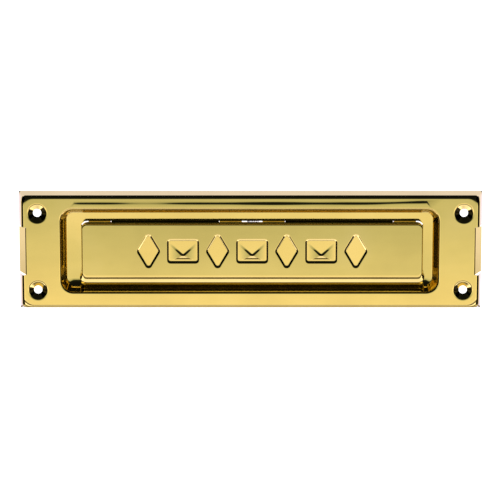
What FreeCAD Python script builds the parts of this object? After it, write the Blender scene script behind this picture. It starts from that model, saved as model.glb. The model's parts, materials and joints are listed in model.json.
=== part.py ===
"""A pressed brass letter plate: a face plate with a sunken field, and an inward flap on a sprung hinge.

Millimetres. X runs along the plate, +Y goes into the wall, +Z is up. The origin is the middle of the
plate's outline on the plane where the rim rests on the wall, so the face that the street sees is at -Y.
"""
import FreeCAD
import Part
import math
import os

Vec = FreeCAD.Vector
ACROSS = Vec(1, 0, 0)
INWARD = Vec(0, 1, 0)

# The sheet and the plate's outline
SHEET = 0.8
PLATE_W = 250.0
PLATE_H = 65.5
RIM_DEPTH = 6.0
RIM_FLARE = 1.6
FACE_CORNER_R = 3.0
RIM_CORNER_R = 0.9
BEND_R = 1.2
FACE_Y = -RIM_DEPTH

# The sunken field
FIELD_W = 204.3
FIELD_H = 46.8
FIELD_X = -0.45
FIELD_Z = 0.6
FIELD_DEPTH = 6.5
FIELD_INSET = 3.0
FIELD_CORNER_R = 6.8
FLOOR_CORNER_R = 3.8
FIELD_EDGE_R = 0.9
FLOOR_EDGE_R = 1.1
FLOOR_Y = FACE_Y + FIELD_DEPTH
FLOOR_BACK_Y = FLOOR_Y + SHEET

# The flap's raised panel
FLAP_X = 0.9
FLAP_W = 184.3
FLAP_TOP = 15.35
PANEL_BOTTOM = -14.6
PANEL_SET_BACK = 1.3
PANEL_Y = FACE_Y + PANEL_SET_BACK
PANEL_CORNER_R = 2.85
PANEL_EDGE_R = 0.4
LIP_BOTTOM = -18.1
LIP_END_Y = -3.2
EDGE_GAP = 0.35
BOTTOM_GAP = 0.65
TOP_GAP = 0.4

# The hinge along the flap's top edge
PIN_R = 1.0
PIN_RUNNING_GAP = 0.07
HINGE_Y = 3.5
HINGE_Z = FLAP_TOP + PIN_R + PIN_RUNNING_GAP
LUG_W = 12.1
LUG_CENTRES = (-82.45, -11.6, 11.6, 82.45)
LUG_SIDE_GAP = 0.3
LUG_FRONT_GAP = 0.4
ROLL_END_DEG = 205.0
ROLL_SLIT_DEG = 55.0
PIN_OVERHANG = 0.3
PIN_HEAD_R = 1.4
PIN_HEAD_T = 0.6

# The stop flanges behind the floor
STOP_GAP = 0.35
STOP_REACH = 3.3
STOP_DROP = 2.8
STOP_TOP = 12.9
STOP_TOP_GAP = 0.1
STOP_CORNER_R = 2.5

# The screw dimples
SCREW_SPACING_X = 230.0
SCREW_SPACING_Z = 43.0
SCREW_HOLE_R = 2.25
DIMPLE_R = 5.25
DIMPLE_DEPTH = 2.0

# The sprung tabs in the middle of the rim's two short sides
TAB_LENGTH = 26.4
TAB_Z = 0.4
TAB_INSET = 2.2
NOTCH_W = 1.6
NOTCH_APEX_INSET = 2.6

# The sunken ornaments of the flap
ORNAMENT_PITCH = 18.67
ORNAMENT_COUNT = 7
ORNAMENT_Z = 0.2
ORNAMENT_DEPTH = 0.7
ORNAMENT_BOTTOM_Y = PANEL_Y + ORNAMENT_DEPTH
ORNAMENT_BACK_Y = ORNAMENT_BOTTOM_Y + SHEET
ORNAMENT_BACK_SPREAD = 0.6
ENVELOPE_W = 16.4
ENVELOPE_H = 12.6
LOZENGE_W = 11.5
LOZENGE_H = 17.8
STROKE = 3.0
CREASE_W = 2.2

# The closing spring
WIRE_R = 0.4
COIL_R = 1.5
COIL_START_X = -2.3
COIL_TURNS = 6
COIL_PITCH = 0.95
LEG_GAP = 0.02
FLAP_LEG_END = (ORNAMENT_BACK_Y + WIRE_R + LEG_GAP, 4.0)
FLAP_FOOT = 9.0
PLATE_LEG_END = (FLOOR_BACK_Y + WIRE_R + LEG_GAP, 21.2)
ELBOW_R = WIRE_R * 1.03

CUT = 1.0


def rounded_outline(width, height, radius, x, y, z):
    """A closed rounded rectangle in the plane at y, centred on x and z."""
    hw = width / 2
    hh = height / 2
    corners = ((1, 1), (-1, 1), (-1, -1), (1, -1))
    edges = []
    ends = []
    for i, (sx, sz) in enumerate(corners):
        middle = Vec(x + sx * (hw - radius), y, z + sz * (hh - radius))
        start = math.radians(90 * i)
        arc = [middle + Vec(math.cos(a), 0, math.sin(a)) * radius
               for a in (start, start + math.pi / 4, start + math.pi / 2)]
        edges.append(Part.Arc(*arc).toShape())
        ends.append((arc[0], arc[2]))
    for i in range(4):
        edges.append(Part.makeLine(ends[i][1], ends[(i + 1) % 4][0]))
    return Part.Wire(Part.__sortEdges__(edges))


def pan(front, back):
    """A solid between two rounded outlines, each given as width, height, radius, x, y, z."""
    return Part.makeLoft([rounded_outline(*front), rounded_outline(*back)], True, True)


def edges_at(shape, y, inside=None):
    """The edges of a shape that lie in the plane at y, and within a half width if one is given."""
    found = []
    for edge in shape.Edges:
        box = edge.BoundBox
        if abs(box.YMin - y) < 1e-4 and abs(box.YMax - y) < 1e-4:
            if inside is None or max(abs(box.XMin), abs(box.XMax)) < inside:
                found.append(edge)
    return found


def prism_x(points, x0, x1):
    """A straight bar along X whose section is a polygon of (y, z) points."""
    loop = [Vec(x0, y, z) for y, z in points]
    return Part.Face(Part.makePolygon(loop + loop[:1])).extrude(ACROSS * (x1 - x0))


def prism_y(points, y0, y1):
    """A straight bar along Y whose section is a polygon of (x, z) points."""
    loop = [Vec(x, y0, z) for x, z in points]
    return Part.Face(Part.makePolygon(loop + loop[:1])).extrude(INWARD * (y1 - y0))


def prism_z(points, z0, z1):
    """A straight bar along Z whose section is a polygon of (x, y) points."""
    loop = [Vec(x, y, z0) for x, y in points]
    return Part.Face(Part.makePolygon(loop + loop[:1])).extrude(Vec(0, 0, z1 - z0))


def block(x0, x1, y0, y1, z0, z1):
    """A box between two corners."""
    return Part.makeBox(x1 - x0, y1 - y0, z1 - z0, Vec(x0, y0, z0))


def rim_outline(y, offset, radius):
    """The rim's outline at a depth, moved in by an offset."""
    grow = 2 * (RIM_FLARE * (y - FACE_Y) / RIM_DEPTH - RIM_FLARE - offset)
    return (PLATE_W + grow, PLATE_H + grow, radius, 0.0, y, 0.0)


def field_outline(y, offset, radius):
    """The sunken field's outline at a depth, moved out by an offset."""
    grow = 2 * (offset - FIELD_INSET * (y - FACE_Y) / FIELD_DEPTH)
    return (FIELD_W + grow, FIELD_H + grow, radius, FIELD_X, y, FIELD_Z)


def rim_solid():
    """The plate's outer form, filled."""
    solid = pan(rim_outline(FACE_Y, 0, FACE_CORNER_R), rim_outline(0.0, 0, RIM_CORNER_R))
    return solid.makeFillet(BEND_R, edges_at(solid, FACE_Y))


def rim_hollow():
    """The space inside the rim, behind the face."""
    side = SHEET / math.cos(math.atan(RIM_FLARE / RIM_DEPTH))
    front = rim_outline(FACE_Y + SHEET, side, FACE_CORNER_R - SHEET)
    back = rim_outline(CUT, side, RIM_CORNER_R)
    return pan(front, back)


def field_cavity():
    """The sunken field, as the space in front of its floor."""
    front = field_outline(FACE_Y, 0, FIELD_CORNER_R)
    back = field_outline(FLOOR_Y, 0, FLOOR_CORNER_R)
    solid = pan(front, back)
    return solid.makeFillet(FLOOR_EDGE_R, edges_at(solid, FLOOR_Y))


def field_back():
    """The sunken field seen from behind, filled: its cavity made bigger by the sheet."""
    side = SHEET / math.cos(math.atan(FIELD_INSET / FIELD_DEPTH))
    front = field_outline(FACE_Y + SHEET / 2, side, FIELD_CORNER_R + side)
    back = field_outline(FLOOR_BACK_Y, side, FLOOR_CORNER_R + side / 2)
    solid = pan(front, back)
    return solid.makeFillet(FLOOR_EDGE_R + SHEET, edges_at(solid, FLOOR_BACK_Y))


def beyond_tab(side, offset):
    """All that is outside a side tab's sloping plane, along the tab's length."""
    bend = PLATE_W / 2 - RIM_FLARE - TAB_INSET
    run = RIM_FLARE + TAB_INSET
    slope = math.atan2(run, RIM_DEPTH)
    x_in = offset / math.cos(slope)
    line = [(bend - x_in + run * (y - FACE_Y) / RIM_DEPTH, y) for y in (FACE_Y - CUT, 2 * CUT)]
    points = line + [(PLATE_W, 2 * CUT), (PLATE_W, FACE_Y - CUT)]
    z0 = TAB_Z - TAB_LENGTH / 2
    return prism_z([(side * x, y) for x, y in points], z0, z0 + TAB_LENGTH)


def tab_notches(side):
    """The relief notches at both ends of a side tab."""
    apex = PLATE_W / 2 - RIM_FLARE - NOTCH_APEX_INSET
    cuts = []
    for end in (-1, 1):
        z = TAB_Z + end * TAB_LENGTH / 2
        far = side * (PLATE_W / 2 + CUT)
        points = [(side * apex, z), (far, z + NOTCH_W / 2), (far, z - NOTCH_W / 2)]
        cuts.append(prism_y(points, FACE_Y - CUT, CUT))
    return cuts


def screw_places():
    """The middles of the four screw holes, as x and z."""
    return [(sx * SCREW_SPACING_X / 2, sz * SCREW_SPACING_Z / 2) for sx in (-1, 1) for sz in (-1, 1)]


def dimple_back(x, z):
    """A dimple's sheet seen from behind, filled."""
    slope = (DIMPLE_R - SCREW_HOLE_R) / DIMPLE_DEPTH
    through = SHEET / math.cos(math.atan(1 / slope))
    start = FACE_Y + SHEET / 2
    end = FACE_Y + DIMPLE_DEPTH + SHEET
    start_r = DIMPLE_R - slope * (start - FACE_Y - through)
    end_r = DIMPLE_R - slope * (end - FACE_Y - through)
    return Part.makeCone(start_r, end_r, end - start, Vec(x, start, z), INWARD)


def dimple_front(x, z):
    """What a dimple and its screw hole take away."""
    cone = Part.makeCone(DIMPLE_R, SCREW_HOLE_R, DIMPLE_DEPTH, Vec(x, FACE_Y, z), INWARD)
    hole = Part.makeCylinder(SCREW_HOLE_R, RIM_DEPTH, Vec(x, FACE_Y + CUT, z), INWARD)
    return cone.fuse(hole)


def aperture():
    """The opening in the field's floor that the flap fills."""
    z0 = LIP_BOTTOM - BOTTOM_GAP
    z1 = FLAP_TOP + TOP_GAP
    width = FLAP_W + 2 * EDGE_GAP
    place = (width, z1 - z0, PANEL_CORNER_R + EDGE_GAP, FLAP_X)
    middle = (z0 + z1) / 2
    return pan(place + (FLOOR_Y - CUT, middle), place + (FLOOR_BACK_Y + CUT, middle))


def roll(x0, x1, bore_r):
    """A strip of sheet rolled around the pin's axis, with the slit where its edge ends."""
    length = x1 - x0
    base = Vec(x0, HINGE_Y, HINGE_Z)
    outer = Part.makeCylinder(bore_r + SHEET, length, base, ACROSS)
    bore = Part.makeCylinder(bore_r, length + 2 * CUT, base - ACROSS * CUT, ACROSS)
    reach = 3 * (bore_r + SHEET)
    wedge = [(HINGE_Y, HINGE_Z)]
    for a in (ROLL_END_DEG, ROLL_END_DEG + ROLL_SLIT_DEG):
        turn = math.radians(a)
        wedge.append((HINGE_Y + reach * math.cos(turn), HINGE_Z + reach * math.sin(turn)))
    return outer.cut(bore).cut(prism_x(wedge, x0 - CUT, x1 + CUT))


def lug(centre):
    """A hinge lug: the floor's sheet bent inward below the pin and rolled around it."""
    x0 = FLAP_X + centre - LUG_W / 2
    x1 = x0 + LUG_W
    low = HINGE_Z - PIN_R - SHEET
    bend_y = FLOOR_BACK_Y + SHEET / 2
    bend_z = low + bend_y - FLOOR_Y
    bend = Part.makeCylinder(bend_y - FLOOR_Y, LUG_W, Vec(x0, bend_y, bend_z), ACROSS)
    inner = Part.makeCylinder(SHEET / 2, LUG_W, Vec(x0, bend_y, bend_z), ACROSS)
    quarter = block(x0, x1, FLOOR_Y, bend_y, low, bend_z)
    elbow = bend.cut(inner).common(quarter)
    wall = block(x0, x1, FLOOR_Y, FLOOR_BACK_Y, bend_z, FLAP_TOP + TOP_GAP + CUT)
    strip = block(x0, x1, bend_y, HINGE_Y, low, low + SHEET)
    return roll(x0, x1, PIN_R).multiFuse([elbow, wall, strip])


def face_plate():
    """The whole face plate, one pressing."""
    front = rim_solid().fuse(field_back()).cut(field_cavity())
    front = front.makeFillet(FIELD_EDGE_R, edges_at(front, FACE_Y, FIELD_W / 2 + CUT))
    hollow = rim_hollow().cut(field_back())
    for side in (-1, 1):
        front = front.cut(beyond_tab(side, 0))
        hollow = hollow.cut(beyond_tab(side, SHEET))
    plate = front.cut(hollow)
    places = screw_places()
    plate = plate.multiFuse([dimple_back(x, z) for x, z in places])
    for x, z in places:
        plate = plate.cut(dimple_front(x, z))
    for side in (-1, 1):
        plate = plate.cut(tab_notches(side))
    plate = plate.cut(aperture())
    return plate.multiFuse([lug(centre) for centre in LUG_CENTRES]).removeSplitter()


def flap_form(inset):
    """The flap's raised form, filled, moved in by an inset on every side but the open back."""
    slope = (PANEL_BOTTOM - LIP_BOTTOM) / (LIP_END_Y - PANEL_Y)
    down = inset * math.sqrt(1 + slope * slope)
    half = FLAP_W / 2 - inset
    top = FLAP_TOP - inset
    front_y = PANEL_Y + inset
    low_end = LIP_BOTTOM + inset
    front_z = PANEL_BOTTOM + down - slope * (front_y - PANEL_Y)
    lip_y = front_y + (front_z - low_end) / slope
    radius = max(PANEL_CORNER_R - inset, 0.5)
    back_y = FLOOR_BACK_Y + STOP_GAP + SHEET + (CUT if inset else 0.0)

    def outline(y, low):
        return (2 * half, top - low, radius, FLAP_X, y, (top + low) / 2)

    raised = pan(outline(front_y, front_z), outline(lip_y, low_end))
    form = raised.fuse(pan(outline(lip_y, low_end), outline(back_y, low_end))).removeSplitter()
    if not inset:
        form = form.makeFillet(PANEL_EDGE_R, edges_at(form, front_y))
    return form


def stop_flanges():
    """The sheet that turns outward behind the floor at the flap's two ends and bottom."""
    width = FLAP_W + 2 * STOP_REACH
    low = LIP_BOTTOM - STOP_DROP
    y0 = FLOOR_BACK_Y + STOP_GAP
    place = (width, STOP_TOP - low, STOP_CORNER_R, FLAP_X)
    middle = (STOP_TOP + low) / 2
    return pan(place + (y0, middle), place + (y0 + SHEET, middle))


def lug_clearances():
    """What is cut from the flap's top wall to let the lugs, the pin's ends and the spring through."""
    y0 = FLOOR_Y - LUG_FRONT_GAP
    z0 = STOP_TOP + STOP_TOP_GAP
    half = LUG_W / 2 + LUG_SIDE_GAP
    inner = abs(LUG_CENTRES[1]) + half
    outer = abs(LUG_CENTRES[3])
    ranges = [(-inner, inner)]
    for sign in (-1, 1):
        ends = sorted((sign * (outer - half), sign * (FLAP_W / 2 + CUT)))
        ranges.append(tuple(ends))
    return [block(FLAP_X + x0, FLAP_X + x1, y0, HINGE_Y + 3 * CUT, z0, HINGE_Z) for x0, x1 in ranges]


def knuckle(sign):
    """A long knuckle: the flap's top wall carried inward and rolled around the pin."""
    half = LUG_W / 2 + LUG_SIDE_GAP
    ends = sorted((sign * (abs(LUG_CENTRES[1]) + half), sign * (abs(LUG_CENTRES[3]) - half)))
    x0 = FLAP_X + ends[0]
    x1 = FLAP_X + ends[1]
    bore_r = PIN_R + PIN_RUNNING_GAP
    strip = block(x0, x1, FLOOR_Y - LUG_FRONT_GAP - CUT, HINGE_Y, FLAP_TOP - SHEET, FLAP_TOP)
    return roll(x0, x1, bore_r).fuse(strip)


def stroke(start, end, width, depths):
    """A bar between two (x, z) points, from one depth to another."""
    run = Vec(end[0] - start[0], 0, end[1] - start[1])
    along = Vec(run).normalize() * (width / 2)
    across = Vec(-along.z, 0, along.x)
    a = Vec(start[0], 0, start[1])
    b = Vec(end[0], 0, end[1])
    loop = [a + across, a - across, b - across, b + across]
    return prism_y([(p.x, p.z) for p in loop], *depths)


def bead(place, width, depths):
    """A round bar end at an (x, z) point, from one depth to another."""
    return Part.makeCylinder(width / 2, depths[1] - depths[0], Vec(place[0], depths[0], place[1]), INWARD)


def frame_of_strokes(points, width, depths):
    """Bars joining a closed row of points, round at each corner."""
    pieces = []
    for i, point in enumerate(points):
        pieces.append(stroke(point, points[(i + 1) % len(points)], width, depths))
        pieces.append(bead(point, width, depths))
    return pieces


def envelope(x, z, spread, depths):
    """The bars of a small envelope, each made wider by a spread on both sides."""
    hw = (ENVELOPE_W - STROKE) / 2
    hh = (ENVELOPE_H - STROKE) / 2
    corners = [(x - hw, z - hh), (x + hw, z - hh), (x + hw, z + hh), (x - hw, z + hh)]
    tip = (x, z - hh / 4)
    crease = CREASE_W + 2 * spread
    pieces = frame_of_strokes(corners, STROKE + 2 * spread, depths)
    pieces += [stroke(corners[2], tip, crease, depths), stroke(corners[3], tip, crease, depths)]
    return pieces + [bead(tip, crease, depths)]


def lozenge(x, z, spread, depths):
    """The bars of a small lozenge, each made wider by a spread on both sides."""
    hw = (LOZENGE_W - STROKE) / 2
    hh = (LOZENGE_H - STROKE) / 2
    corners = [(x, z - hh), (x + hw, z), (x, z + hh), (x - hw, z)]
    return frame_of_strokes(corners, STROKE + 2 * spread, depths)


def ornaments(spread, depths):
    """The row of ornaments, lozenges and envelopes in turn."""
    pieces = []
    for i in range(ORNAMENT_COUNT):
        x = FLAP_X + (i - (ORNAMENT_COUNT - 1) / 2) * ORNAMENT_PITCH
        pieces += (envelope if i % 2 else lozenge)(x, ORNAMENT_Z, spread, depths)
    return pieces


def flap():
    """The whole flap, one pressing."""
    shell = flap_form(0).fuse(stop_flanges()).cut(flap_form(SHEET))
    for space in lug_clearances():
        shell = shell.cut(space)
    shell = shell.multiFuse([knuckle(-1), knuckle(1)])
    shell = shell.multiFuse(ornaments(ORNAMENT_BACK_SPREAD, (PANEL_Y + SHEET / 2, ORNAMENT_BACK_Y)))
    hollow = ornaments(0.0, (PANEL_Y - CUT, ORNAMENT_BOTTOM_Y))
    return shell.cut(hollow[0].multiFuse(hollow[1:])).removeSplitter()


def hinge_pin():
    """A straight pin with upset ends, held in the lugs."""
    half = abs(LUG_CENTRES[3]) + LUG_W / 2 + PIN_OVERHANG
    left = Vec(FLAP_X - half, HINGE_Y, HINGE_Z)
    right = Vec(FLAP_X + half, HINGE_Y, HINGE_Z)
    pin = Part.makeCylinder(PIN_R, 2 * half, left, ACROSS)
    starts = (left - ACROSS * PIN_HEAD_T, right)
    return pin.multiFuse([Part.makeCylinder(PIN_HEAD_R, PIN_HEAD_T, start, ACROSS) for start in starts])


def rod(start, end):
    """A straight length of spring wire with rounded ends, a hair thicker than the wire so that they join."""
    run = end - start
    pieces = [Part.makeSphere(ELBOW_R, start), Part.makeSphere(ELBOW_R, end)]
    return Part.makeCylinder(WIRE_R, run.Length, start, run).multiFuse(pieces)


def tangent_turn(point, side):
    """The angle on the coil where a straight wire to a (y, z) point leaves it."""
    reach_y = point[0] - HINGE_Y
    reach_z = point[1] - HINGE_Z
    return math.atan2(reach_z, reach_y) + side * math.acos(COIL_R / math.hypot(reach_y, reach_z))


def on_coil(x, turn):
    """A point of the coil's centre line."""
    return Vec(x, HINGE_Y + COIL_R * math.cos(turn), HINGE_Z + COIL_R * math.sin(turn))


def closing_spring():
    """A torsion spring: a coil around the pin, a leg on the plate's back, and a leg with a foot on the flap."""
    first = tangent_turn(FLAP_LEG_END, 1)
    last = tangent_turn(PLATE_LEG_END, -1) + COIL_TURNS * 2 * math.pi
    length = COIL_PITCH * (last - first) / (2 * math.pi)
    x0 = FLAP_X + COIL_START_X
    x1 = x0 + length
    helix = Part.makeHelix(COIL_PITCH, length, COIL_R)
    climb = Vec(0, 2 * math.pi * COIL_R, COIL_PITCH)
    ring = Part.Wire(Part.makeCircle(WIRE_R, Vec(COIL_R, 0, 0), climb))
    coil = Part.Wire(helix.Edges).makePipeShell([ring], True, True)
    axis = Vec(x0, HINGE_Y, HINGE_Z)
    coil.Placement = FreeCAD.Placement(axis, FreeCAD.Rotation(INWARD, Vec(0, 0, 1), ACROSS, "ZXY"))
    coil.rotate(axis, ACROSS, math.degrees(first))
    foot = Vec(x0, *FLAP_LEG_END)
    legs = [
        rod(on_coil(x0, first), foot),
        rod(foot, foot - ACROSS * FLAP_FOOT),
        rod(on_coil(x1, last), Vec(x1, *PLATE_LEG_END)),
    ]
    return coil.multiFuse(legs)


def main():
    """Writes each sub-part to its own file."""
    os.makedirs("parts", exist_ok=True)
    made = {
        "face_plate": face_plate(),
        "flap": flap(),
        "hinge_pin": hinge_pin(),
        "closing_spring": closing_spring(),
    }
    for name, shape in made.items():
        if shape.ShapeType == "Compound" and len(shape.Solids) == 1:
            shape = shape.Solids[0]
        print(name, len(shape.Solids), "solid", round(shape.Volume, 1), "mm3", "valid", shape.isValid())
        shape.exportStep("parts/" + name + ".step")


main()
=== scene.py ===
"""The looks of a pressed brass letter plate with a sprung flap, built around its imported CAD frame.

Lengths are in millimetres in the CAD frame until a mesh is made: X runs along the plate, +Y goes into the
wall and +Z is up. A section line is a list of (u, y, slope) points, where u is the distance along the plate's
face and the slope is the angle between the sheet and the face, in radians.
"""
import json
import math
from bisect import bisect_right

import bmesh
import bpy
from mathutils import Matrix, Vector
from mathutils.geometry import delaunay_2d_cdt


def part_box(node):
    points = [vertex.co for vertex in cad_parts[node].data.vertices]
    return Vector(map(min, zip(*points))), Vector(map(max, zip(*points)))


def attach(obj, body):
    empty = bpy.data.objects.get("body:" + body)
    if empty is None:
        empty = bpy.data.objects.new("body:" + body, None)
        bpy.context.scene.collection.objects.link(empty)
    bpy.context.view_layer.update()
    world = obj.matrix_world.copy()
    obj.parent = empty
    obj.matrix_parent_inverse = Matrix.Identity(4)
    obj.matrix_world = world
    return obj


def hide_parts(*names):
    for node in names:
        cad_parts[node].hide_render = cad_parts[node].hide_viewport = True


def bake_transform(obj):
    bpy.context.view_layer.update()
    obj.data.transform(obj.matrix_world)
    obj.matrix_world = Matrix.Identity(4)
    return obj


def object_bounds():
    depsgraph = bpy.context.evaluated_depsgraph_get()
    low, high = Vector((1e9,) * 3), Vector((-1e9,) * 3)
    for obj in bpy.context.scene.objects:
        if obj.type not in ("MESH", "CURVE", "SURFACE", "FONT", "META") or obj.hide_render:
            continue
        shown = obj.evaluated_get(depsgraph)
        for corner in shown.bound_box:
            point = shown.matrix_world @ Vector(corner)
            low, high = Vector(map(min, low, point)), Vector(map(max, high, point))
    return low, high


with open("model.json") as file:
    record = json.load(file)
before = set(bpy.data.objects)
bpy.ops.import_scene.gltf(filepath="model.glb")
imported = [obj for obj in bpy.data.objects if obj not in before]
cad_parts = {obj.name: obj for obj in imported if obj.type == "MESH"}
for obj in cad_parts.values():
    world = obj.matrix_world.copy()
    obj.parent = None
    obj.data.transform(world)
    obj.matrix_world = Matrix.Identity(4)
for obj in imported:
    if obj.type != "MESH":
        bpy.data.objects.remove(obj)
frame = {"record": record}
CAD_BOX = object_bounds()
RECORD = frame["record"]

MM = 0.001
FRONT = Vector((0.0, -1.0, 0.0))
ACROSS = Vector((1.0, 0.0, 0.0))

# The plate's outline, and its sheet
PLATE_LOW, PLATE_HIGH = (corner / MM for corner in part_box("face_plate"))
HALF_W = PLATE_HIGH.x
HALF_H = PLATE_HIGH.z
FACE_Y = PLATE_LOW.y
SHEET = 0.8
RIM_FLARE = 1.6
FACE_CORNER_R = 3.0
RIM_CORNER_R = 0.9
BEND_R = 2.2
TAB_BEND_R = 1.2

# The sunken field
FIELD = (-0.45, 0.6, 102.15, 23.4, 6.8)
FIELD_INSET = 3.0
FLOOR_Y = FACE_Y + 6.5
FIELD_EDGE_R = 1.5
FIELD_BOTTOM_EDGE_R = 1.2
FLOOR_EDGE_R = 1.2
FLOOR_BOTTOM_R = 5.5

# The flap
FLAP_X = 0.9
FLAP_HALF_W = 92.15
FLAP_TOP = 15.35
PANEL_Y = FACE_Y + 1.3
PANEL_BOTTOM = -14.6
PANEL_CORNER_R = 2.85
PANEL_EDGE_R = 0.85
LIP_CREASE_R = 7.0
LIP_DROP = 3.5
LIP_Y = -3.2
GAP = 0.35
BOTTOM_GAP = 0.65
TOP_GAP = 0.4
STOP_Y = FLOOR_Y + SHEET + GAP
STOP_REACH = 3.3
STOP_DROP = 2.8
STOP_BEND_R = 0.3
KNUCKLE_INSET = 0.4
KNUCKLE_START_Y = FLOOR_Y - KNUCKLE_INSET

# The hinge
HINGE_Y, HINGE_Z = (c / MM for c in RECORD["behaviour"]["joints"][0]["pos_m"][1:])
PIN_R = 1.0
PIN_GAP = 0.07
LUG_W = 12.1
LUG_CENTRES = (-82.45, -11.6, 11.6, 82.45)
LUG_SIDE_GAP = 0.3
ROLL_END = math.radians(205.0)

# The screw dimples
SCREWS = next(m for m in RECORD["mounts"] if m["name"] == "screw_holes")["dims"]
SCREW_HOLE_R = SCREWS["hole_r_mm"]
DIMPLE_R = 5.25
DIMPLE_DEPTH = 2.0
DIMPLE_EDGE_R = 2.4

# The sprung tabs in the rim's short sides
TAB_Z = 0.4
TAB_HALF = 13.2
TAB_INSET = 2.2
NOTCH_APEX_INSET = 2.6
NOTCH_MOUTH = 0.8
NOTCH_SLOPE = NOTCH_MOUTH / (RIM_FLARE + NOTCH_APEX_INSET + 1.0)

# The sunken ornaments
ORNAMENT_PITCH = 18.67
ORNAMENT_COUNT = 7
ORNAMENT_Z = 0.2
ORNAMENT_DEPTH = 0.7
ENVELOPE = (16.4, 12.6)
LOZENGE = (11.5, 17.8)
STROKE = 3.0
CREASE = 2.2
ORNAMENT_SLOPE_W = 1.2
ORNAMENT_EDGE_R = 0.8

# The closing spring
WIRE_R = 0.4
COIL_R = 1.5
COIL_START_X = -2.3
COIL_TURNS = 6
COIL_PITCH = 0.95
LEG_GAP = 0.02
FLAP_LEG_END = (PANEL_Y + ORNAMENT_DEPTH + SHEET + WIRE_R + LEG_GAP, 4.0)
FLAP_FOOT = 9.0
PLATE_LEG_END = (FLOOR_Y + SHEET + WIRE_R + LEG_GAP, 21.2)


class Shell:
    """Gathers the faces of a closed mesh, with the true normals of its smooth faces."""

    def __init__(self):
        self.points = []
        self.found = {}
        self.faces = []
        self.normals = []

    def corner(self, point):
        key = tuple(round(c, 4) for c in point)
        if key not in self.found:
            self.found[key] = len(self.points)
            self.points.append(point)
        return self.found[key]

    def face(self, corners, normals=None):
        """Adds a face, smooth where its corners' normals are given and flat otherwise."""
        ids = [self.corner(c) for c in corners]
        kept = [i for i in range(len(ids)) if ids[i] != ids[i - 1]]
        if len(kept) < 3 or len({ids[i] for i in kept}) < 3:
            return
        self.faces.append([ids[i] for i in kept])
        self.normals.append({ids[i]: normals[i] for i in kept} if normals else None)

    def tube(self, rows):
        """Adds the faces between rows of (point, normal) pairs that each go once round."""
        for near, far in zip(rows, rows[1:]):
            for k in range(len(near)):
                quad = [near[k - 1], near[k], far[k], far[k - 1]]
                self.face([p for p, _ in quad], [n for _, n in quad])

    def build(self, name, material):
        """Makes the Blender object, in metres, with all its faces turned outward."""
        mesh = bpy.data.meshes.new(name)
        mesh.from_pydata([p * MM for p in self.points], [], self.faces)
        work = bmesh.new()
        work.from_mesh(mesh)
        bmesh.ops.recalc_face_normals(work, faces=work.faces)
        work.to_mesh(mesh)
        work.free()
        mesh.shade_smooth()
        normals = []
        for polygon, known in zip(mesh.polygons, self.normals):
            normals += [known[i] if known else polygon.normal.copy() for i in polygon.vertices]
        mesh.normals_split_custom_set(normals)
        mesh.materials.append(material)
        piece = bpy.data.objects.new(name, mesh)
        bpy.context.collection.objects.link(piece)
        return piece


def section(corners, radii, steps=8):
    """A section line through (u, y) corners, with the inner ones rounded."""
    headings = [math.atan2(b[1] - a[1], b[0] - a[0]) for a, b in zip(corners, corners[1:])]
    line = [(*corners[0], headings[0])]
    for (u, y), radius, before, after in zip(corners[1:-1], radii, headings, headings[1:]):
        turn = after - before
        reach = radius * math.tan(abs(turn) / 2)
        side = math.copysign(radius, turn)
        u0 = u - reach * math.cos(before)
        y0 = y - reach * math.sin(before)
        for k in range(steps + 1):
            heading = before + turn * k / steps
            du = side * (math.sin(heading) - math.sin(before))
            dy = side * (math.cos(before) - math.cos(heading))
            line.append((u0 + du, y0 + dy, heading))
    line.append((*corners[-1], headings[-1]))
    return line


def at(line, u):
    """The depth and slope of a section line at a distance along it."""
    i = bisect_right(line, (u, math.inf, math.inf))
    if i == 0:
        return line[0][1:]
    if i == len(line):
        return line[-1][1:]
    (u0, y0, a0), (u1, y1, a1) = line[i - 1], line[i]
    return mixed((y0, a0), (y1, a1), (u - u0) / (u1 - u0) if u1 > u0 else 0.0)


def between(a, b, share):
    """A share of the way from one number to another."""
    return a + (b - a) * share


def mixed(a, b, share):
    """A share of the way from one row of numbers to another."""
    return tuple(between(p, q, share) for p, q in zip(a, b))


def normal_of(slope, along):
    """The front normal of a sheet that goes back with a slope along a direction on the face."""
    return FRONT * math.cos(slope) + Vector((along[0], 0.0, along[1])) * math.sin(slope)


def smooth(share):
    """A share kept from 0 to 1, with soft ends."""
    share = min(max(share, 0.0), 1.0)
    return share * share * (3 - 2 * share)


def outside(x, z, half_w, half_h, radius):
    """How far a point is outside a rounded rectangle centred on the origin."""
    qx = abs(x) - half_w + radius
    qz = abs(z) - half_h + radius
    return math.hypot(max(qx, 0.0), max(qz, 0.0)) + min(max(qx, qz), 0.0) - radius


def away(x, z, half_w, half_h, radius):
    """The direction straight away from that rounded rectangle."""
    qx = abs(x) - half_w + radius
    qz = abs(z) - half_h + radius
    if qx > 0 and qz > 0:
        reach = math.hypot(qx, qz)
        return (math.copysign(qx / reach, x), math.copysign(qz / reach, z))
    return (math.copysign(1.0, x), 0.0) if qx > qz else (0.0, math.copysign(1.0, z))


def ring(cx, cz, half_w, half_h, radius, arc_steps=12, spacing=12.0):
    """The points of a rounded rectangle, anticlockwise, with the outward direction at each."""
    points = []
    for turn, (sx, sz) in enumerate(((1, 1), (-1, 1), (-1, -1), (1, -1))):
        mx = cx + sx * (half_w - radius)
        mz = cz + sz * (half_h - radius)
        for k in range(arc_steps + 1):
            a = math.pi / 2 * (turn + k / arc_steps)
            out = (math.cos(a), math.sin(a))
            points.append((mx + radius * out[0], mz + radius * out[1], *out))
        run = 2 * ((half_w if turn % 2 == 0 else half_h) - radius)
        ahead = (-math.sin(a), math.cos(a))
        count = max(1, round(run / spacing))
        last = points[-1]
        for k in range(1, count):
            step = run * k / count
            points.append((last[0] + ahead[0] * step, last[1] + ahead[1] * step, last[2], last[3]))
    return points


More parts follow.
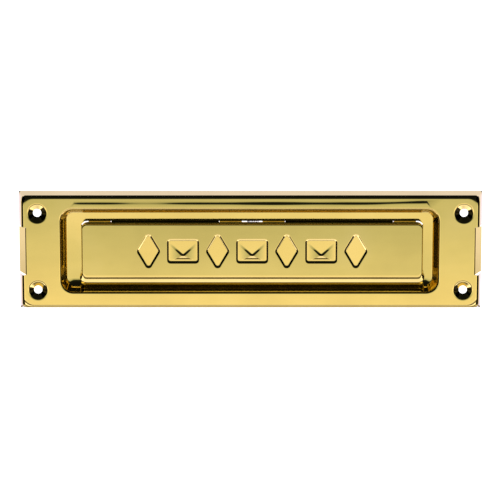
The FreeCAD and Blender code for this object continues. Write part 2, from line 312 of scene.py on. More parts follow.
def circle(cx, cz, radius, steps=48):
    """The points of a circle on the plan."""
    turns = (2 * math.pi * k / steps for k in range(steps))
    return [(cx + radius * math.cos(a), cz + radius * math.sin(a)) for a in turns]


def triangles(lines, wanted):
    """Fills the plan with triangles that keep to lines, each a list of points and whether it closes."""
    points = []
    found = {}
    edges = []
    for line, closed in lines:
        ids = []
        for x, z in line:
            key = (round(x, 4), round(z, 4))
            if key not in found:
                found[key] = len(points)
                points.append(Vector(key))
            ids.append(found[key])
        pairs = list(zip(ids, ids[1:])) + ([(ids[-1], ids[0])] if closed else [])
        edges += [pair for pair in pairs if pair[0] != pair[1]]
    out = delaunay_2d_cdt(points, edges, [], 0, 1e-5)
    faces = []
    for face in out[2]:
        cx = sum(out[0][i].x for i in face) / len(face)
        cz = sum(out[0][i].y for i in face) / len(face)
        if wanted(cx, cz):
            faces.append(face)
    return out[0], faces


def sheet_over(shell, lines, wanted, front_of, back_of, closed=True):
    """Adds a sheet whose front is a surface over the plan, with its edge closed or left open."""
    plan, faces = triangles(lines, wanted)
    front = {}
    back = {}
    normal = {}
    for i in {i for face in faces for i in face}:
        y, n = front_of(plan[i].x, plan[i].y)
        front[i] = Vector((plan[i].x, y, plan[i].y))
        normal[i] = n
        back[i] = back_of(front[i], n)
    edges = {}
    for face in faces:
        shell.face([front[i] for i in face], [normal[i] for i in face])
        shell.face([back[i] for i in face], [-normal[i] for i in face])
        for k in range(len(face)):
            pair = (face[k - 1], face[k])
            key = tuple(sorted(pair))
            edges[key] = edges.get(key, []) + [pair]
    for users in edges.values():
        if closed and len(users) == 1:
            a, b = users[0]
            shell.face([front[a], front[b], back[b], back[a]])


# The slight crowns of the pressed sheet, as the upward lean of its front normals
FACE_LEAN = 0.06
FLOOR_LEAN = -0.05
PANEL_LEAN_TOP = 0.065
PANEL_LEAN_LOW = 0.01
GROOVE_LEAN = -0.06

# The shallow crease that bending the rim leaves along the plate's top strip, which rises a little to the right
CREASE_Z = 27.2
CREASE_LIFT = 0.8
CREASE_LIFT_START = 60.0
CREASE_LIFT_RUN = 40.0
CREASE_HALF_W = 0.75
CREASE_LEAN = 0.36
CREASE_END_INSET = 22.0
CREASE_FADE = 12.0
CREASE_GRID_INSET = 30.0
CREASE_STEPS = 120
CREASE_ROWS = range(-4, 6)
# How it swells along X: a mean, two waves as height, length and start, and a weaker left part
CREASE_MEAN = 0.80
CREASE_WAVES = [(0.16, 7.3, 0.0), (0.20, 17.0, 1.1)]
CREASE_LEFT_SHARE = 0.55
CREASE_LEFT_END = -70.0
CREASE_LEFT_RUN = 90.0

# The plate's own shapes. FLAT is the flat run before a section's first bend, and each MARGIN is how far
# outside a shape's edge its own section is still used.
FLAT = 4.0
FIELD_MARGIN = 2.0
DIMPLE_MARGIN = 2.0
TAB_MARGIN = 4.0
FIELD_LEAST_R = 0.2
# The rows of extra points beside the dimples, and how far in from the dimples' centres they start and end
CROWN_ROWS = 12
CROWN_REACH = 9.0
CROWN_GAP = 1.0
FACE = (HALF_W - RIM_FLARE, HALF_H - RIM_FLARE)
RIM_LINE = section([(-FLAT, FACE_Y), (0.0, FACE_Y), (RIM_FLARE, 0.0)], [BEND_R])
TAB_BEND_X = FACE[0] - TAB_INSET
TAB_LINE = section([(-FLAT, FACE_Y), (0.0, FACE_Y), (HALF_W - TAB_BEND_X, 0.0)], [TAB_BEND_R])
FIELD_CORNERS = [(-FLAT, FACE_Y), (0.0, FACE_Y), (FIELD_INSET, FLOOR_Y), (FIELD[3], FLOOR_Y)]
FIELD_LINE = section(FIELD_CORNERS, [FIELD_EDGE_R, FLOOR_EDGE_R])
FIELD_BOTTOM_LINE = section(FIELD_CORNERS, [FIELD_BOTTOM_EDGE_R, FLOOR_BOTTOM_R], steps=12)
DIMPLE_CORNERS = [(-FLAT, FACE_Y), (0.0, FACE_Y), (DIMPLE_R - SCREW_HOLE_R, FACE_Y + DIMPLE_DEPTH)]
DIMPLE_LINE = section(DIMPLE_CORNERS, [DIMPLE_EDGE_R], steps=6)
DIMPLE_X = SCREWS["spacing_x_mm"] / 2
DIMPLE_Z = SCREWS["spacing_y_mm"] / 2
DIMPLES = [(sx * DIMPLE_X, sz * DIMPLE_Z) for sx in (-1, 1) for sz in (-1, 1)]
APERTURE_LOW = PANEL_BOTTOM - LIP_DROP - BOTTOM_GAP
APERTURE_HIGH = FLAP_TOP + TOP_GAP
APERTURE = (FLAP_X, (APERTURE_LOW + APERTURE_HIGH) / 2,
            FLAP_HALF_W + GAP, (APERTURE_HIGH - APERTURE_LOW) / 2, PANEL_CORNER_R + GAP)


def crease(x, z):
    """How far the shallow crease along the plate's top strip leans the face upward."""
    middle = CREASE_Z + CREASE_LIFT * smooth((x - CREASE_LIFT_START) / CREASE_LIFT_RUN)
    along = smooth((HALF_W - CREASE_END_INSET - abs(x)) / CREASE_FADE)
    swell = CREASE_MEAN + sum(height * math.sin(x / length + start) for height, length, start in CREASE_WAVES)
    swell *= between(CREASE_LEFT_SHARE, 1.0, smooth((x - CREASE_LEFT_END) / CREASE_LEFT_RUN))
    return CREASE_LEAN * along * swell * math.exp(-((z - middle) / CREASE_HALF_W) ** 2)


def leaning(normal, lean):
    """A normal turned a little upward, as where a pressed sheet is slightly crowned."""
    return (normal + Vector((0.0, 0.0, lean))).normalized()


def rim_shape(level):
    """The rounded rectangle at a level of the rim's flare."""
    radius = FACE_CORNER_R + (RIM_CORNER_R - FACE_CORNER_R) * level / RIM_FLARE
    return FACE[0] + level, FACE[1] + level, radius


def rim_level(x, z):
    """Which level of the rim's flare passes through a point, found by halving."""
    low = -FLAT
    high = RIM_FLARE + 1.0
    for _ in range(24):
        middle = (low + high) / 2
        if outside(x, z, *rim_shape(middle)) > 0:
            low = middle
        else:
            high = middle
    return low


def bottom_share(x, z):
    """1 along the field's bottom side, going smoothly to 0 round its bottom corners."""
    cx, cz, half_w, half_h, radius = FIELD
    below = cz - half_h + radius - z
    beside = abs(x - cx) - half_w + radius
    if below <= 0:
        return 0.0
    return 1.0 if beside <= 0 else smooth(math.atan2(below, beside) / (math.pi / 2))


def plate_front(x, z):
    """The depth and normal of the plate's front at a point of the plan."""
    cx, cz, half_w, half_h, radius = FIELD
    level = -outside(x - cx, z - cz, half_w, half_h, radius)
    if level > -FIELD_MARGIN:
        side = at(FIELD_LINE, level)
        y, slope = mixed(side, at(FIELD_BOTTOM_LINE, level), bottom_share(x, z))
        along = away(x - cx, z - cz, half_w, half_h, radius)
        sunk = smooth((y - FACE_Y) / (FLOOR_Y - FACE_Y))
        lean = between(FACE_LEAN * z / HALF_H, FLOOR_LEAN * smooth(z / FLAP_TOP), sunk)
        return y, leaning(normal_of(slope, (-along[0], -along[1])), lean)
    for dx, dz in DIMPLES:
        reach = math.hypot(x - dx, z - dz)
        if reach < DIMPLE_R + DIMPLE_MARGIN:
            y, slope = at(DIMPLE_LINE, DIMPLE_R - reach)
            normal = normal_of(slope, ((dx - x) / reach, (dz - z) / reach))
            return y, leaning(normal, FACE_LEAN * z / HALF_H)
    if abs(z - TAB_Z) < TAB_HALF and abs(x) > FACE[0] - TAB_MARGIN:
        y, slope = at(TAB_LINE, abs(x) - TAB_BEND_X)
        return y, leaning(normal_of(slope, (math.copysign(1.0, x), 0.0)), FACE_LEAN * z / HALF_H)
    level = rim_level(x, z)
    y, slope = at(RIM_LINE, level)
    lean = FACE_LEAN * z / HALF_H + crease(x, z) * math.cos(slope)
    return y, leaning(normal_of(slope, away(x, z, *rim_shape(level))), lean)


def plate_back(point, normal):
    """The point behind a point of the plate's front, not past the wall."""
    behind = point - normal * SHEET
    if max(abs(point.x) - FACE[0], abs(point.z) - FACE[1]) > 0:
        behind.y = min(behind.y, 0.0)
    return behind


def in_notch(x, z):
    """Whether a point is in one of the relief notches at the tabs' ends."""
    reach = abs(x) - (FACE[0] - NOTCH_APEX_INSET)
    return reach > 0 and abs(abs(z - TAB_Z) - TAB_HALF) < reach * NOTCH_SLOPE


def in_plate(x, z):
    """Whether a point of the plan is on the plate's metal."""
    if outside(x, z, *rim_shape(RIM_FLARE)) > 0 or in_notch(x, z):
        return False
    if outside(x - APERTURE[0], z - APERTURE[1], *APERTURE[2:]) < 0:
        return False
    return all(math.hypot(x - dx, z - dz) > SCREW_HOLE_R for dx, dz in DIMPLES)


def rim_lines():
    """The levels of the rim's flare and of its tabs."""
    lines = []
    for u, _, _ in RIM_LINE[1:]:
        half_w, half_h, radius = rim_shape(u)
        loop = [(x, z) for x, z, _, _ in ring(0.0, 0.0, half_w, half_h, radius)]
        lines.append((loop, True))
    for u, _, _ in TAB_LINE[1:]:
        for side in (-1, 1):
            x = side * (TAB_BEND_X + u)
            half = TAB_HALF - max(0.0, abs(x) - FACE[0] + NOTCH_APEX_INSET) * NOTCH_SLOPE
            lines.append(([(x, TAB_Z - half), (x, TAB_Z), (x, TAB_Z + half)], False))
    return lines


def field_lines():
    """The levels of the sunken field's sides."""
    levels = sorted({round(u, 3) for u, _, _ in FIELD_LINE[1:-1] + FIELD_BOTTOM_LINE[1:-1]})
    cx, cz, half_w, half_h, radius = FIELD
    lines = []
    for u in levels:
        loop = ring(cx, cz, half_w - u, half_h - u, max(radius - u, FIELD_LEAST_R))
        lines.append(([(x, z) for x, z, _, _ in loop], True))
    return lines


def crown_lines():
    """Short lines beside the dimples and long ones along the crease, which give the crowns their points."""
    lines = []
    rows = CROWN_ROWS
    for k in range(1, rows):
        z = HALF_H * (2 * k / rows - 1)
        for side in (-1, 1):
            lines.append(([(side * (DIMPLE_X - CROWN_REACH), z), (side * (DIMPLE_X - CROWN_GAP), z)], False))
    reach = HALF_W - CREASE_GRID_INSET
    steps = CREASE_STEPS
    for k in CREASE_ROWS:
        z = CREASE_Z + k * CREASE_HALF_W / 2
        lines.append(([(reach * (2 * i / steps - 1), z) for i in range(steps + 1)], False))
    return lines


def notch_lines():
    """The slanting edges of the relief notches."""
    apex = FACE[0] - NOTCH_APEX_INSET
    far = RIM_FLARE + NOTCH_APEX_INSET
    lines = []
    for side in (-1, 1):
        for end in (-1, 1):
            z = TAB_Z + end * TAB_HALF
            for lean in (-1, 1):
                lines.append(([(side * apex, z), (side * (apex + far), z + lean * far * NOTCH_SLOPE)], False))
    return lines


def plate_lines():
    """The lines of the plan that the plate's triangles keep to."""
    dimples = [(circle(dx, dz, DIMPLE_R - u), True) for dx, dz in DIMPLES for u, _, _ in DIMPLE_LINE[1:]]
    aperture = ([(x, z) for x, z, _, _ in ring(*APERTURE)], True)
    return rim_lines() + field_lines() + dimples + [aperture] + crown_lines() + notch_lines()


def strip(shell, path, x0, x1):
    """Adds a strip of sheet along X whose middle line is a path of (y, z, heading) points."""
    sides = []
    for y, z, heading in path:
        n = Vector((0.0, -math.sin(heading), math.cos(heading)))
        middle = Vector((0.0, y, z))
        sides.append((middle + n * SHEET / 2, middle - n * SHEET / 2, n))
    low = ACROSS * x0
    high = ACROSS * x1
    for (a, b, n), (c, d, m) in zip(sides, sides[1:]):
        shell.face([a + low, a + high, c + high, c + low], [n, n, m, m])
        shell.face([b + low, b + high, d + high, d + low], [-n, -n, -m, -m])
        shell.face([a + low, c + low, d + low, b + low])
        shell.face([a + high, c + high, d + high, b + high])
    for a, b, _ in (sides[0], sides[-1]):
        shell.face([a + low, a + high, b + high, b + low])


def rolled(radius, steps=28):
    """The part of a strip's path that rolls round the pin, from straight below it."""
    path = []
    for k in range(steps + 1):
        a = -math.pi / 2 + (ROLL_END + math.pi / 2) * k / steps
        path.append((HINGE_Y + radius * math.cos(a), HINGE_Z + radius * math.sin(a), a + math.pi / 2))
    return path


def lug_path():
    """The floor's sheet bent inward below the pin and rolled round it."""
    radius = PIN_R + SHEET / 2
    low = HINGE_Z - radius
    bend = SHEET
    middle_y = FLOOR_Y + SHEET / 2 + bend
    turns = [math.pi + math.pi / 2 * k / 8 for k in range(9)]
    elbow = []
    for a in turns:
        elbow.append((middle_y + bend * math.cos(a), low + bend + bend * math.sin(a), a + math.pi / 2))
    return elbow + rolled(radius)


def knuckle_path():
    """The flap's top wall carried inward and rolled round the pin."""
    radius = PIN_R + PIN_GAP + SHEET / 2
    return [(KNUCKLE_START_Y, HINGE_Z - radius, 0.0)] + rolled(radius)


def face_plate(brass):
    """The whole face plate, one pressing."""
    shell = Shell()
    sheet_over(shell, plate_lines(), in_plate, plate_front, plate_back)
    for centre in LUG_CENTRES:
        x0 = FLAP_X + centre - LUG_W / 2
        strip(shell, lug_path(), x0, x0 + LUG_W)
    piece = shell.build("face_plate_pressing", brass)
    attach(piece, "plate")
    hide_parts("face_plate")


# The flap's own shapes
GROOVE_Y = PANEL_Y + ORNAMENT_DEPTH
RELIEF_CORNERS = [(-FLAT, GROOVE_Y), (0.0, GROOVE_Y), (ORNAMENT_SLOPE_W, PANEL_Y), (FLAT, PANEL_Y)]
RELIEF_LINE = section(RELIEF_CORNERS, [ORNAMENT_EDGE_R, ORNAMENT_EDGE_R], steps=4)
SIDE_CORNERS = [(-FLAT, PANEL_Y), (0.0, PANEL_Y), (0.0, LIP_Y), (0.0, STOP_Y), (STOP_REACH, STOP_Y)]
SIDE_LINE = section(SIDE_CORNERS, [PANEL_EDGE_R, PANEL_EDGE_R, STOP_BEND_R])[1:]
LIP_CORNERS = [(-FLAT, PANEL_Y), (0.0, PANEL_Y), (LIP_DROP, LIP_Y), (LIP_DROP, STOP_Y),
               (LIP_DROP + STOP_DROP, STOP_Y)]
LIP_LINE = section(LIP_CORNERS, [LIP_CREASE_R, PANEL_EDGE_R, STOP_BEND_R])[1:]
TOP_LINE = [(min(u, 0.0), min(y, KNUCKLE_START_Y), slope if y < KNUCKLE_START_Y else math.pi / 2)
            for u, y, slope in SIDE_LINE]
PANEL_H = FLAP_TOP - PANEL_BOTTOM
PANEL = (FLAP_X, (FLAP_TOP + PANEL_BOTTOM) / 2, FLAP_HALF_W, PANEL_H / 2, PANEL_CORNER_R)


def strokes():
    """The bars of every ornament, as two ends and the half width of their flat bottoms."""
    bars = []
    for i in range(ORNAMENT_COUNT):
        x = FLAP_X + (i - (ORNAMENT_COUNT - 1) / 2) * ORNAMENT_PITCH
        z = ORNAMENT_Z
        width, height = ENVELOPE if i % 2 else LOZENGE
        hw = (width - STROKE) / 2
        hh = (height - STROKE) / 2
        if i % 2:
            corners = [(x - hw, z - hh), (x + hw, z - hh), (x + hw, z + hh), (x - hw, z + hh)]
            tip = (x, z - hh / 4)
            bars += [(corners[3], tip, CREASE / 2), (corners[2], tip, CREASE / 2)]
        else:
            corners = [(x, z - hh), (x + hw, z), (x, z + hh), (x - hw, z)]
        bars += [(corners[k - 1], corners[k], STROKE / 2) for k in range(4)]
    return [(a, b, half - ORNAMENT_SLOPE_W / 2) for a, b, half in bars]


BARS = strokes()


def from_bar(x, z, bar):
    """How far a point is outside a bar's flat bottom, and the direction straight away from it."""
    (ax, az), (bx, bz), half = bar
    run = (bx - ax, bz - az)
    share = ((x - ax) * run[0] + (z - az) * run[1]) / (run[0] ** 2 + run[1] ** 2)
    share = min(max(share, 0.0), 1.0)
    dx = x - ax - run[0] * share
    dz = z - az - run[1] * share
    reach = math.hypot(dx, dz)
    return reach - half, (dx / reach, dz / reach) if reach > 1e-6 else (1.0, 0.0)


def panel_lean(z):
    """The panel's slight crown: it leans back most at its top."""
    return between(PANEL_LEAN_LOW, PANEL_LEAN_TOP, smooth((z - PANEL_BOTTOM) / PANEL_H))


def panel_front(x, z):
    """The depth and normal of the flap's raised panel."""
    near = min((from_bar(x, z, bar) for bar in BARS), key=lambda found: found[0])
    y, slope = at(RELIEF_LINE, near[0])
    sunk = smooth((y - PANEL_Y) / ORNAMENT_DEPTH)
    return y, leaning(normal_of(slope, near[1]), between(panel_lean(z), GROOVE_LEAN, sunk))


def stadium(bar, grow, steps=8):
    """The outline of a bar, grown."""
    (ax, az), (bx, bz), half = bar
    facing = math.atan2(bz - az, bx - ax)
    loop = []
    for (mx, mz), start in (((bx, bz), facing - math.pi / 2), ((ax, az), facing + math.pi / 2)):
        for k in range(steps + 1):
            a = start + math.pi * k / steps
            loop.append((mx + (half + grow) * math.cos(a), mz + (half + grow) * math.sin(a)))
    return loop


def relief_lines():
    """The outlines of the ornaments at each level of their sides, without what lies inside a neighbour."""
    lines = []
    for bar in BARS:
        x = (bar[0][0] + bar[1][0]) / 2
        near = [b for b in BARS if b is not bar and abs((b[0][0] + b[1][0]) / 2 - x) < ORNAMENT_PITCH / 2]
        for u, _, _ in RELIEF_LINE[1:-1]:
            loop = stadium(bar, u)
            clear = [all(from_bar(px, pz, b)[0] > u - 1e-4 for b in near) for px, pz in loop]
            for k in range(len(loop)):
                if clear[k - 1] or clear[k]:
                    lines.append(([loop[k - 1], loop[k]], False))
    return lines


def flap_rings():
    """The rings of the flap's edge, each a list of front points, their normals and the points behind them."""
    cx, cz, half_w, half_h, radius = PANEL
    base = ring(cx, cz, half_w, half_h, radius, arc_steps=10)
    rings = []
    for side, lip, top in zip(SIDE_LINE, LIP_LINE, TOP_LINE):
        row = []
        for x, z, ox, oz in base:
            u, y, slope = mixed(mixed(side, lip, smooth(-oz)), top, smooth(oz * 2))
            normal = normal_of(slope, (ox, oz))
            point = Vector((x + ox * u, y, z + oz * u))
            row.append((point, leaning(normal, panel_lean(z) * math.cos(slope)), point - normal * SHEET))
        rings.append(row)
    return rings


def flap(brass):
    """The whole flap, one pressing."""
    shell = Shell()
    rings = flap_rings()
    inner = [(p.x, p.z) for p, _, _ in rings[0]]
    sheet_over(shell, [(inner, True)] + relief_lines(), lambda x, z: inside_loop(x, z, inner), panel_front,
               lambda p, n: p - FRONT * SHEET, closed=False)
    count = len(inner)
    for near, far in zip(rings, rings[1:]):
        for k in range(count):
            quad = [near[k - 1], near[k], far[k], far[k - 1]]
            shell.face([p for p, _, _ in quad], [n for _, n, _ in quad])
            shell.face([b for _, _, b in quad], [-n for _, n, _ in quad])
    for k in range(count):
        (a, _, c), (b, _, d) = rings[-1][k - 1], rings[-1][k]
        shell.face([a, b, d, c])
    inner_half = LUG_CENTRES[2] + LUG_W / 2 + LUG_SIDE_GAP
    outer_half = LUG_CENTRES[3] - LUG_W / 2 - LUG_SIDE_GAP
    for sign in (-1, 1):
        ends = sorted((sign * inner_half, sign * outer_half))
        strip(shell, knuckle_path(), FLAP_X + ends[0], FLAP_X + ends[1])
    piece = shell.build("flap_pressing", brass)
    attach(piece, "flap")
    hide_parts("flap")


def inside_loop(x, z, loop):
    """Whether a point is inside a closed loop."""
    crossings = 0
    for (ax, az), (bx, bz) in zip(loop, loop[1:] + loop[:1]):
        if (az > z) != (bz > z) and x < ax + (bx - ax) * (z - az) / (bz - az):
            crossings += 1
    return crossings % 2 == 1


# The pin
PIN_HALF = LUG_CENTRES[3] + LUG_W / 2 + LUG_SIDE_GAP
PIN_HEAD_R = 1.4
PIN_HEAD_T = 0.6
PIN_HEAD_EDGE_R = 0.22
PIN_HEAD_TAPER = 0.1
PIN_FILLET_R = 0.05


def hinge_pin(steel):
    """The pin, turned about its axis, with a rounded upset head at each end."""
    end = PIN_HALF + PIN_HEAD_T
    neck = PIN_HALF - PIN_HEAD_TAPER
    half = [(0.0, PIN_R), (neck, PIN_R), (PIN_HALF, PIN_HEAD_R), (end, PIN_HEAD_R), (end, 0.0)]
    line = section(half, [PIN_FILLET_R, PIN_FILLET_R, PIN_HEAD_EDGE_R], steps=5)
    line = [(-x, r, math.pi - a) for x, r, a in reversed(line)][:-1] + line[1:]
    shell = Shell()
    turns = 32
    rows = []
    for x, r, slope in line:
        row = []
        for k in range(turns):
            a = 2 * math.pi * k / turns
            out = Vector((0.0, math.cos(a), math.sin(a)))
            n = out * abs(math.cos(slope)) - ACROSS * math.sin(slope) * math.copysign(1.0, math.cos(slope))
            row.append((Vector((FLAP_X + x, HINGE_Y, HINGE_Z)) + out * r, n.normalized()))
        rows.append(row)
    shell.tube(rows)
    piece = shell.build("hinge_pin_wire", steel)
    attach(piece, "plate")
    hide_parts("hinge_pin")


def tangent_turn(point, side):
    """The angle on the coil where a straight wire to a (y, z) point leaves it."""
    reach_y = point[0] - HINGE_Y
    reach_z = point[1] - HINGE_Z
    return math.atan2(reach_z, reach_y) + side * math.acos(COIL_R / math.hypot(reach_y, reach_z))


def spring_path():
    """The spring wire's centre line, from its foot on the flap to its end on the plate's back."""
    first = tangent_turn(FLAP_LEG_END, 1)
    last = tangent_turn(PLATE_LEG_END, -1) + COIL_TURNS * 2 * math.pi
    steps = COIL_TURNS * 28
    coil = []
    for k in range(steps + 1):
        a = first + (last - first) * k / steps
        x = FLAP_X + COIL_START_X + COIL_PITCH * (a - first) / (2 * math.pi)
        coil.append(Vector((x, HINGE_Y + COIL_R * math.cos(a), HINGE_Z + COIL_R * math.sin(a))))
    foot = Vector((coil[0].x, *FLAP_LEG_END))
    leg = (coil[0] - foot).normalized()
    bend = [foot + leg * (1 - s) ** 2 - ACROSS * s ** 2 for s in (k / 8 for k in range(9))]
    start = [foot - ACROSS * FLAP_FOOT] + bend[::-1]
    return start + coil + [Vector((coil[-1].x, *PLATE_LEG_END))]


def closing_spring(steel):
    """The torsion spring, one round wire."""
    path = spring_path()
    around = 12
    shell = Shell()
    side = None
    rows = []
    for i, point in enumerate(path):
        ahead = (path[min(i + 1, len(path) - 1)] - path[max(i - 1, 0)]).normalized()
        side = (side - ahead * side.dot(ahead)).normalized() if side else ahead.orthogonal().normalized()
        up = ahead.cross(side)
        turns = [2 * math.pi * k / around for k in range(around)]
        outs = [side * math.cos(a) + up * math.sin(a) for a in turns]
        rows.append([(point + out * WIRE_R, out) for out in outs])
    shell.tube(rows)
    shell.face([p for p, _ in rows[0]])
    shell.face([p for p, _ in rows[-1]])
    piece = shell.build("closing_spring_wire", steel)
    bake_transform(piece)
    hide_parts("closing_spring")


# The camera
CAMERA_ELEVATION = math.radians(15.5)
CAMERA_DISTANCE = 2.1
PICTURE_WIDTH = 0.2707
SENSOR = 36.0
AIM_POINT = Vector((-0.27, 0.0, -0.42)) * MM

# The studio, with a tent of painted reflections
FLOOR_DROP = 0.5
FLOOR_SIZE = 60.0
TENT_RADIUS = 1.6
# The painted reflections' colour at each pitch, as pitch in degrees, red, green and blue. The bright rows
# paint the brass's highlights and the near-black rows paint its dark reflections.
PAINTED_REFLECTION_BANDS = [
    (-180.0, 1.15, 1.10, 1.90),
    (-152.0, 1.15, 1.10, 1.70),
    (-140.0, 0.70, 0.62, 0.60),
    (-110.0, 0.60, 0.55, 0.50),
    (-95.0, 0.20, 0.18, 0.16),
    (-82.0, 0.20, 0.18, 0.16),
    (-76.0, 1.40, 1.35, 1.90),
    (-57.0, 1.40, 1.35, 1.90),
    (-53.0, 0.20, 0.18, 0.15),
    (-38.0, 0.20, 0.18, 0.15),
    (-34.0, 1.30, 1.22, 1.50),
    (-24.0, 1.22, 1.12, 1.12),
    (-16.0, 0.96, 0.94, 0.97),
    (-8.0, 0.74, 0.76, 0.78),
    (0.0, 0.56, 0.58, 0.56),
    (5.0, 0.30, 0.34, 0.32),
    (8.0, 0.02, 0.025, 0.03),
    (28.0, 0.01, 0.012, 0.015),
    (36.0, 0.008, 0.009, 0.012),
    (112.0, 0.008, 0.009, 0.012),
    (118.0, 0.95, 0.98, 2.20),
    (180.0, 1.15, 1.10, 1.90),
]
# How the painted reflections darken towards the sides of the front, as yaw in degrees and a share, and where
# the back begins, which keeps its full painted colour
PAINTED_REFLECTION_SIDES = [(0.0, 1.0), (15.0, 1.0), (26.0, 1.15), (38.0, 1.7), (41.0, 0.03), (90.0, 0.03)]
PAINTED_REFLECTION_BACK = 125.0
PAINTED_REFLECTION_BACK_FADE = 10.0
TENT_ROWS = 360
TENT_COLUMNS = 90
FLOOR_WHITE = (0.92, 0.92, 0.92, 1.0)
WORLD_WHITE = (1.0, 1.0, 1.0, 1.0)
SOFTBOX_SIZE = 8.0
SOFTBOX_HEIGHT = 4.0
SOFTBOX_POWER = 300.0

# The metals' tones from dull to bright, and the scale of what varies over them, per metre
BRASS = [(0.73, 0.565, 0.155), (0.79, 0.615, 0.17), (0.84, 0.655, 0.20)]
STEEL = [(0.46, 0.45, 0.44), (0.58, 0.57, 0.55), (0.66, 0.65, 0.63)]
TONE_SCALE = 28.0
TONE_STOPS = (0.3, 0.55, 0.8)
SMEAR_SCALE = 60.0
WAVE_SCALE = 45.0
WAVE_STRETCH = (0.5, 1.0, 1.3)
SCRATCH_SCALE = 900.0
SCRATCH_STRETCH = (0.05, 1.0, 1.0)
SMEAR_STRETCH = (1.0, 1.0, 6.0)
# Each metal's roughness from its glossiest to its dullest, and the depths of its waves and scratches in metres
BRASS_FINISH = ((0.05, 0.11), 0.00012, 0.0000008)
STEEL_FINISH = ((0.16, 0.30), 0.00001, 0.000002)


def nodes_of(material):
    """A material's empty node tree."""
    material.use_nodes = True
    tree = material.node_tree
    tree.nodes.clear()
    return tree


def row_at(table, where):
    """The numbers of a table, whose rows start with a rising place, at some place."""
    i = max(1, min(bisect_right(table, (where,)), len(table) - 1))
    low, high = table[i - 1], table[i]
    return mixed(low[1:], high[1:], (where - low[0]) / (high[0] - low[0]))


def painted_reflection_at(pitch, yaw):
    """The painted reflection's colour in a direction: pitch turns up from straight in front, yaw to the right.
    """
    side = between(row_at(PAINTED_REFLECTION_SIDES, abs(yaw))[0], 1.0, smooth((abs(pitch) - PAINTED_REFLECTION_BACK) / PAINTED_REFLECTION_BACK_FADE))
    return [channel * side for channel in row_at(PAINTED_REFLECTION_BANDS, pitch)] + [1.0]


def tent_cards():
    """The painted reflections' material, which glows in the colours painted on it."""
    material = bpy.data.materials.new("tent_cards")
    tree = nodes_of(material)
    out = tree.nodes.new("ShaderNodeOutputMaterial")
    shine = tree.nodes.new("ShaderNodeEmission")
    painted = tree.nodes.new("ShaderNodeAttribute")
    painted.attribute_name = "glow"
    tree.links.new(painted.outputs["Color"], shine.inputs["Color"])
    tree.links.new(shine.outputs[0], out.inputs["Surface"])
    return material


def tent():
    """A tent of glowing painted reflections, bright and dark bands that only the polished metal sees; it is no
    lamp and lights nothing else.
    """
    points = []
    colours = []
    for i in range(TENT_ROWS + 1):
        pitch = -180.0 + 360.0 * i / TENT_ROWS
        for j in range(TENT_COLUMNS + 1):
            yaw = -90.0 + 180.0 * j / TENT_COLUMNS
            p = math.radians(pitch)
            w = math.radians(yaw)
            facing = Vector((math.sin(w), -math.cos(w) * math.cos(p), math.cos(w) * math.sin(p)))
            points.append(TENT_RADIUS * facing)
            colours += painted_reflection_at(pitch, yaw)
    faces = []
    across = TENT_COLUMNS + 1
    for i in range(TENT_ROWS):
        for a in range(i * across, i * across + TENT_COLUMNS):
            faces.append((a, a + 1, a + across + 1, a + across))
    mesh = bpy.data.meshes.new("tent")
    mesh.from_pydata(points, [], faces)
    mesh.attributes.new("glow", "FLOAT_COLOR", "POINT").data.foreach_set("color", colours)
    mesh.materials.append(tent_cards())
    card = bpy.data.objects.new("tent", mesh)
    bpy.context.collection.objects.link(card)
    # Seen only in glossy rays, so it paints the metal's highlights and dark reflections.
    card.visible_camera = False
    card.visible_diffuse = False
    card.visible_shadow = False
    card.visible_transmission = False


def floor_plane():
    """A pale floor a little below the plate."""
    bpy.ops.mesh.primitive_plane_add(size=FLOOR_SIZE, location=(0.0, 0.0, CAD_BOX[0].z - FLOOR_DROP))
    floor = bpy.context.object
    floor.name = "floor"
    pale = bpy.data.materials.new("floor_pale")
    tree = nodes_of(pale)
    out = tree.nodes.new("ShaderNodeOutputMaterial")
    skin = tree.nodes.new("ShaderNodeBsdfDiffuse")
    skin.inputs["Color"].default_value = FLOOR_WHITE
    tree.links.new(skin.outputs[0], out.inputs["Surface"])
    floor.data.materials.append(pale)
    floor.visible_glossy = False


def softbox():
    """A large soft light overhead."""
    lamp = bpy.data.lights.new("overhead_softbox", "AREA")
    lamp.shape = "RECTANGLE"
    lamp.size = SOFTBOX_SIZE
    lamp.size_y = SOFTBOX_SIZE
    lamp.energy = SOFTBOX_POWER
    over = bpy.data.objects.new("overhead_softbox", lamp)
    over.location = (0.0, 0.0, SOFTBOX_HEIGHT)
    over.visible_glossy = False
    over.visible_camera = False
    bpy.context.collection.objects.link(over)


def studio():
    """White surroundings, a pale floor, soft light and the tent of painted reflections that the polished brass
    shows.
    """
    scene = bpy.context.scene
    scene.view_settings.view_transform = "Standard"
    world = bpy.data.worlds.new("studio")
    world.use_nodes = True
    background = world.node_tree.nodes["Background"]
    background.inputs["Color"].default_value = WORLD_WHITE
    background.inputs["Strength"].default_value = 1.0
    scene.world = world
    floor_plane()
    softbox()
    # The painted reflections.
    tent()


def camera():
    """The camera, level across and looking down on the plate."""
    data = bpy.data.cameras.new("camera")
    data.sensor_width = SENSOR
    data.lens = SENSOR * CAMERA_DISTANCE / PICTURE_WIDTH
    eye = bpy.data.objects.new("camera", data)
    bpy.context.collection.objects.link(eye)
    back = Vector((0.0, -math.cos(CAMERA_ELEVATION), math.sin(CAMERA_ELEVATION)))
    eye.location = AIM_POINT + back * CAMERA_DISTANCE
    eye.rotation_mode = "QUATERNION"
    eye.rotation_quaternion = (-back).to_track_quat("-Z", "Y")
    bpy.context.scene.camera = eye


def node(tree, kind, **values):
    """A shader node, with its settings by attribute and its inputs by name."""
    made = tree.nodes.new("ShaderNode" + kind)
    for key, value in values.items():
        if hasattr(made, key):
            setattr(made, key, value)
        else:
            made.inputs[key.replace("_", " ")].default_value = value
    return made


def noise(tree, place, scale, detail=3.0):
    """Soft noise over a place."""
    made = node(tree, "TexNoise", Scale=scale, Detail=detail)
    tree.links.new(place, made.inputs["Vector"])
    return made.outputs["Fac"]


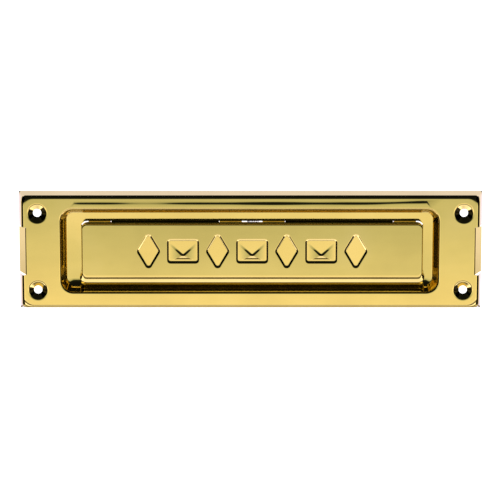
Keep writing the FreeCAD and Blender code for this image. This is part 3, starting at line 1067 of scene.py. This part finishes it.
def ramp(tree, share, stops):
    """Colours along a share."""
    made = node(tree, "ValToRGB")
    band = made.color_ramp.elements
    while len(band) < len(stops):
        band.new(0.5)
    for element, (where, colour) in zip(band, stops):
        element.position = where
        element.color = (*colour, 1.0)
    tree.links.new(share, made.inputs["Fac"])
    return made.outputs["Color"]


def stretched(tree, place, scale):
    """A place with each axis scaled."""
    made = node(tree, "Mapping", vector_type="POINT")
    made.inputs["Scale"].default_value = scale
    tree.links.new(place, made.inputs["Vector"])
    return made.outputs["Vector"]


def metal(name, tones, roughness, waves, scratches):
    """A polished metal: cloudy tone and gloss, slow waves of the pressed sheet and fine polishing lines."""
    material = bpy.data.materials.new(name)
    tree = nodes_of(material)
    out = node(tree, "OutputMaterial")
    skin = node(tree, "BsdfPrincipled", Metallic=1.0)
    place = node(tree, "TexCoord").outputs["Object"]
    cloud = noise(tree, place, TONE_SCALE)
    tone = ramp(tree, cloud, list(zip(TONE_STOPS, tones)))
    tree.links.new(tone, skin.inputs["Base Color"])
    smear = noise(tree, stretched(tree, place, SMEAR_STRETCH), SMEAR_SCALE, detail=5.0)
    gloss = node(tree, "MapRange")
    gloss.inputs["To Min"].default_value = roughness[0]
    gloss.inputs["To Max"].default_value = roughness[1]
    tree.links.new(smear, gloss.inputs["Value"])
    tree.links.new(gloss.outputs["Result"], skin.inputs["Roughness"])
    wave = node(tree, "Bump", Strength=1.0, Distance=waves)
    swell = noise(tree, stretched(tree, place, WAVE_STRETCH), WAVE_SCALE, detail=2.0)
    tree.links.new(swell, wave.inputs["Height"])
    line = node(tree, "Bump", Strength=1.0, Distance=scratches)
    fine = noise(tree, stretched(tree, place, SCRATCH_STRETCH), SCRATCH_SCALE, detail=4.0)
    tree.links.new(fine, line.inputs["Height"])
    tree.links.new(wave.outputs["Normal"], line.inputs["Normal"])
    tree.links.new(line.outputs["Normal"], skin.inputs["Normal"])
    tree.links.new(skin.outputs[0], out.inputs["Surface"])
    return material


studio()
camera()
polished = metal("polished_brass", BRASS, *BRASS_FINISH)
bright = metal("bright_steel", STEEL, *STEEL_FINISH)
face_plate(polished)
flap(polished)
hinge_pin(bright)
closing_spring(bright)
